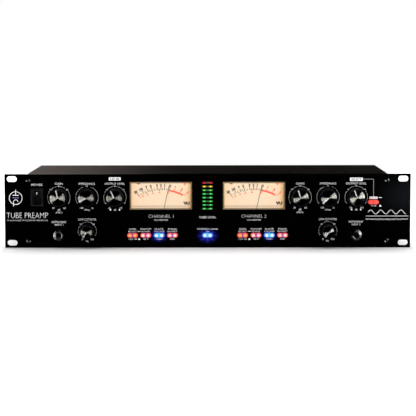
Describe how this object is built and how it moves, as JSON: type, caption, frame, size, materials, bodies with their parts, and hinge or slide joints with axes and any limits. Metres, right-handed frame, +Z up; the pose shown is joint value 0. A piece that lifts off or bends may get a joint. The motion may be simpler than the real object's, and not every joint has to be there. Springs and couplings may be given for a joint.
{
  "type": "rack microphone preamplifier",
  "caption": "Two-channel tube microphone preamplifier for a 19-inch rack: black front panel, lit level meters, spun-disc knobs, lit push buttons, rear audio sockets and mains inlet.",
  "frame": {"origin": "centre of the four rack slots, on the panel's rear face that meets the rack rails", "axes": "+X right as seen from the front, +Y to the rear, +Z up"},
  "size_m": [0.4826, 0.187, 0.0882],
  "materials": {
    "panel_black": "gloss black enamel with white printing",
    "case_black": "satin black powder coat",
    "black_steel": "black oxide",
    "plated_steel": "bright zinc plate",
    "knob_black": "black moulding, spun black metal disc, white line",
    "pot_metal": "plated can",
    "black_moulding": "fine moulded grain",
    "rocker_black": "satin moulding",
    "white_moulding": "translucent white moulding",
    "clear_window": "clear moulded window",
    "dial_card": "printed cream card lit from behind",
    "movement_metal": "machined",
    "pointer_metal": "painted dark",
    "lamp_plastic": "translucent coloured moulding, lit",
    "button_lens": "translucent moulding, lit from behind",
    "switch_plastic": "moulded",
    "nut_chrome": "bright plated, lightly worn",
    "socket_metal": "black plated zinc casting",
    "contact_metal": "silver plate",
    "latch_metal": "bright plate",
    "drawer_black": "fine moulded grain",
    "fuse_glass": "clear glass with plated caps",
    "board": "green solder mask",
    "brass_posts": "machined",
    "socket_ceramic": "plain white ceramic",
    "tube_envelope": "clear blown glass",
    "electrode_metal": "grey plate",
    "core_iron": "varnished laminations",
    "winding_wrap": "yellow insulating wrap",
    "can_sleeve": "dark sleeve",
    "sink_aluminium": "black anodised"
  },
  "bodies": {
    "chassis": {"front_panel": "panel_black", "chassis_tray": "case_black", "top_cover": "case_black", "panel_screws": "black_steel", "cover_screws": "black_steel", "machine_screws": "plated_steel", "potentiometers": "pot_metal", "pot_nuts": "plated_steel", "power_switch_body": "black_moulding", "meter_housings": "white_moulding", "meter_lenses": "clear_window", "meter_dials": "dial_card", "meter_movements": "movement_metal", "level_lamps": "lamp_plastic", "button_switches": "switch_plastic", "instrument_jacks": "black_moulding", "line_jacks": "black_moulding", "jack_nuts": "nut_chrome", "input_sockets": "socket_metal", "output_sockets": "socket_metal", "output_pins": "contact_metal", "inlet_body": "black_moulding", "inlet_pins": "contact_metal", "control_board": "board", "main_board": "board", "board_standoffs": "brass_posts", "tube_sockets": "socket_ceramic", "tube_glass": "tube_envelope", "tube_electrodes": "electrode_metal", "transformer_core": "core_iron", "transformer_winding": "winding_wrap", "transformer_clamp": "plated_steel", "filter_capacitors": "can_sleeve", "heat_sink": "sink_aluminium", "voltage_regulators": "black_moulding"},
    "left_gain": {"left_gain_knob": "knob_black"},
    "left_impedance": {"left_impedance_knob": "knob_black"},
    "left_output": {"left_output_knob": "knob_black"},
    "right_gain": {"right_gain_knob": "knob_black"},
    "right_impedance": {"right_impedance_knob": "knob_black"},
    "right_output": {"right_output_knob": "knob_black"},
    "left_filter": {"left_filter_knob": "knob_black"},
    "right_filter": {"right_filter_knob": "knob_black"},
    "left_boost_key": {"left_boost_button": "button_lens"},
    "left_phantom_key": {"left_phantom_button": "button_lens"},
    "left_plate_key": {"left_plate_button": "button_lens"},
    "left_phase_key": {"left_phase_button": "button_lens"},
    "link_key": {"link_button": "button_lens"},
    "right_boost_key": {"right_boost_button": "button_lens"},
    "right_phantom_key": {"right_phantom_button": "button_lens"},
    "right_plate_key": {"right_plate_button": "button_lens"},
    "right_phase_key": {"right_phase_button": "button_lens"},
    "select_key": {"select_button": "button_lens"},
    "rocker": {"power_rocker": "rocker_black"},
    "left_needle": {"left_meter_pointer": "pointer_metal"},
    "right_needle": {"right_meter_pointer": "pointer_metal"},
    "latch_1": {"input_latch_1": "latch_metal"},
    "latch_2": {"input_latch_2": "latch_metal"},
    "drawer": {"fuse_drawer": "drawer_black", "fuse": "fuse_glass"}
  },
  "joints": [
    {"name": "left_gain_turn", "type": "hinge", "parent": "chassis", "child": "left_gain", "pos_m": [-0.1767, -0.018, 0.0163], "axis": [0, 1, 0], "range_deg": [-137.5, 162.5]},
    {"name": "left_impedance_turn", "type": "hinge", "parent": "chassis", "child": "left_impedance", "pos_m": [-0.1432, -0.018, 0.0163], "axis": [0, 1, 0], "range_deg": [-33, 267]},
    {"name": "left_output_turn", "type": "hinge", "parent": "chassis", "child": "left_output", "pos_m": [-0.11, -0.018, 0.0163], "axis": [0, 1, 0], "range_deg": [-123.4, 176.6]},
    {"name": "right_gain_turn", "type": "hinge", "parent": "chassis", "child": "right_gain", "pos_m": [0.11, -0.018, 0.0163], "axis": [0, 1, 0], "range_deg": [-132.5, 167.5]},
    {"name": "right_impedance_turn", "type": "hinge", "parent": "chassis", "child": "right_impedance", "pos_m": [0.1432, -0.018, 0.0163], "axis": [0, 1, 0], "range_deg": [-18, 282]},
    {"name": "right_output_turn", "type": "hinge", "parent": "chassis", "child": "right_output", "pos_m": [0.1767, -0.018, 0.0163], "axis": [0, 1, 0], "range_deg": [-129, 171]},
    {"name": "left_filter_turn", "type": "hinge", "parent": "chassis", "child": "left_filter", "pos_m": [-0.1432, -0.018, -0.0242], "axis": [0, 1, 0], "range_deg": [-5, 295]},
    {"name": "right_filter_turn", "type": "hinge", "parent": "chassis", "child": "right_filter", "pos_m": [0.1432, -0.018, -0.0242], "axis": [0, 1, 0], "range_deg": [-5, 295]},
    {"name": "left_boost_key_press", "type": "slide", "parent": "chassis", "child": "left_boost_key", "axis": [0, 1, 0], "range_m": [0, 0.0025], "stiffness_N_per_m": 400},
    {"name": "left_phantom_key_press", "type": "slide", "parent": "chassis", "child": "left_phantom_key", "axis": [0, 1, 0], "range_m": [0, 0.0025], "stiffness_N_per_m": 400},
    {"name": "left_plate_key_press", "type": "slide", "parent": "chassis", "child": "left_plate_key", "axis": [0, 1, 0], "range_m": [0, 0.0025], "stiffness_N_per_m": 400},
    {"name": "left_phase_key_press", "type": "slide", "parent": "chassis", "child": "left_phase_key", "axis": [0, 1, 0], "range_m": [0, 0.0025], "stiffness_N_per_m": 400},
    {"name": "link_key_press", "type": "slide", "parent": "chassis", "child": "link_key", "axis": [0, 1, 0], "range_m": [0, 0.0025], "stiffness_N_per_m": 400},
    {"name": "right_boost_key_press", "type": "slide", "parent": "chassis", "child": "right_boost_key", "axis": [0, 1, 0], "range_m": [0, 0.0025], "stiffness_N_per_m": 400},
    {"name": "right_phantom_key_press", "type": "slide", "parent": "chassis", "child": "right_phantom_key", "axis": [0, 1, 0], "range_m": [0, 0.0025], "stiffness_N_per_m": 400},
    {"name": "right_plate_key_press", "type": "slide", "parent": "chassis", "child": "right_plate_key", "axis": [0, 1, 0], "range_m": [0, 0.0025], "stiffness_N_per_m": 400},
    {"name": "right_phase_key_press", "type": "slide", "parent": "chassis", "child": "right_phase_key", "axis": [0, 1, 0], "range_m": [0, 0.0025], "stiffness_N_per_m": 400},
    {"name": "select_key_press", "type": "slide", "parent": "chassis", "child": "select_key", "axis": [0, 1, 0], "range_m": [0, 0.0025], "stiffness_N_per_m": 400},
    {"name": "rocker_tilt", "type": "hinge", "parent": "chassis", "child": "rocker", "pos_m": [-0.2026, 0, 0.0163], "axis": [1, 0, 0], "range_deg": [0, 20]},
    {"name": "left_needle_swing", "type": "hinge", "parent": "chassis", "child": "left_needle", "pos_m": [-0.0553, 0.007, -0.0124], "axis": [0, 1, 0], "range_deg": [-56.9, 31.1], "stiffness_Nm_per_rad": 0.002},
    {"name": "right_needle_swing", "type": "hinge", "parent": "chassis", "child": "right_needle", "pos_m": [0.0553, 0.007, -0.0124], "axis": [0, 1, 0], "range_deg": [-56.9, 31.1], "stiffness_Nm_per_rad": 0.002},
    {"name": "latch_1_press", "type": "slide", "parent": "chassis", "child": "latch_1", "axis": [0, -1, 0], "range_m": [0, 0.002], "stiffness_N_per_m": 500},
    {"name": "latch_2_press", "type": "slide", "parent": "chassis", "child": "latch_2", "axis": [0, -1, 0], "range_m": [0, 0.002], "stiffness_N_per_m": 500},
    {"name": "drawer_slide", "type": "slide", "parent": "chassis", "child": "drawer", "axis": [0, 1, 0], "range_m": [0, 0.014]}
  ]
}
